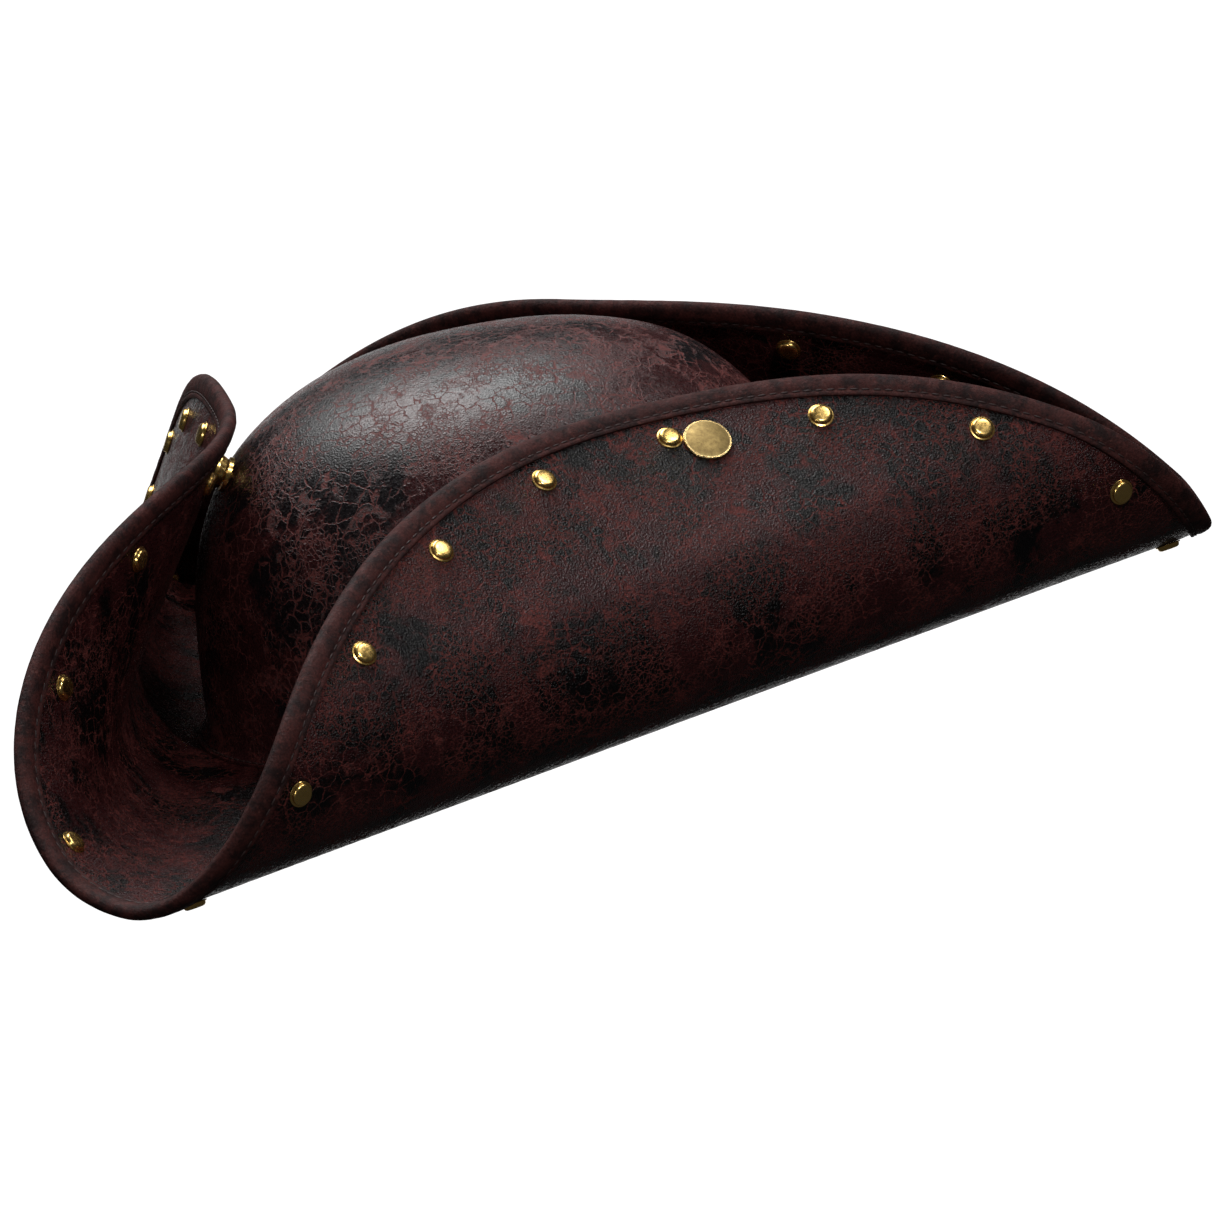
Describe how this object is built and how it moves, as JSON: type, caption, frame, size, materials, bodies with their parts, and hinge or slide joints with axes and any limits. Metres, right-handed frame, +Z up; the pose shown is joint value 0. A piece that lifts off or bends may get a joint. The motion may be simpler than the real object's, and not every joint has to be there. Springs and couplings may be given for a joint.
{
  "type": "tricorn hat",
  "caption": "Three-cornered leather costume hat: oval dome crown on a round brim folded up on three sides, each flap held to the crown by a press stud.",
  "frame": {"origin": "Centre of the oval head opening, on the plane of the brim's underside.", "axes": "+Z up, the crown's dome on +Z; +X towards the front corner, along the long axis of the head opening; +Y towards the far flap."},
  "size_m": [0.3672, 0.3884, 0.1092],
  "materials": {
    "crown_leather": "smooth crackled bonded leather, worn grey-brown over dark burgundy, satin gloss",
    "brim_leather": "pebbled crackled bonded leather, black blotches on dark burgundy",
    "binding_leather": "matt burgundy edge binding, stitched",
    "sweatband_leather": "smooth thin leather",
    "lining_cloth": "black woven lining",
    "buckram": "stiffened open weave",
    "spring_wire": "plain spring wire",
    "bright_brass": "polished gold plate",
    "antique_brass": "matt antique brass with a bright rim"
  },
  "bodies": {
    "crown_and_seat": {"crown_shell": "crown_leather", "crown_stiffener": "buckram", "crown_lining": "lining_cloth", "sweatband": "sweatband_leather", "sweatband_bow": "lining_cloth", "brim_seat": "brim_leather", "front_corner_binding": "binding_leather", "near_corner_binding": "binding_leather", "far_corner_binding": "binding_leather", "corner_wires": "spring_wire", "corner_rivet_caps": "bright_brass", "corner_rivet_backs": "bright_brass", "near_snap_stud": "bright_brass", "far_snap_stud": "bright_brass", "side_snap_stud": "bright_brass", "snap_stud_posts": "bright_brass"},
    "near_flap": {"near_flap": "brim_leather", "near_flap_binding": "binding_leather", "near_flap_wire": "spring_wire", "near_rivet_caps": "bright_brass", "near_rivet_backs": "bright_brass", "near_snap_cap": "antique_brass", "near_snap_socket": "bright_brass"},
    "far_flap": {"far_flap": "brim_leather", "far_flap_binding": "binding_leather", "far_flap_wire": "spring_wire", "far_rivet_caps": "bright_brass", "far_rivet_backs": "bright_brass", "far_snap_cap": "antique_brass", "far_snap_socket": "bright_brass"},
    "side_flap": {"side_flap": "brim_leather", "side_flap_binding": "binding_leather", "side_flap_wire": "spring_wire", "side_rivet_caps": "bright_brass", "side_rivet_backs": "bright_brass", "side_snap_cap": "antique_brass", "side_snap_socket": "bright_brass"}
  },
  "joints": [
    {"name": "near_flap_fold", "type": "hinge", "parent": "crown_and_seat", "child": "near_flap", "pos_m": [0.0615, -0.10652, 0.022], "axis": [0.866, 0.5, 0], "range_deg": [0, 25]},
    {"name": "far_flap_fold", "type": "hinge", "parent": "crown_and_seat", "child": "far_flap", "pos_m": [0.058, 0.10046, 0.022], "axis": [-0.866, 0.5, 0], "range_deg": [0, 25]},
    {"name": "side_flap_fold", "type": "hinge", "parent": "crown_and_seat", "child": "side_flap", "pos_m": [-0.13781, 0.00722, 0.022], "axis": [-0.0523, -0.9986, 0], "range_deg": [0, 25]}
  ]
}
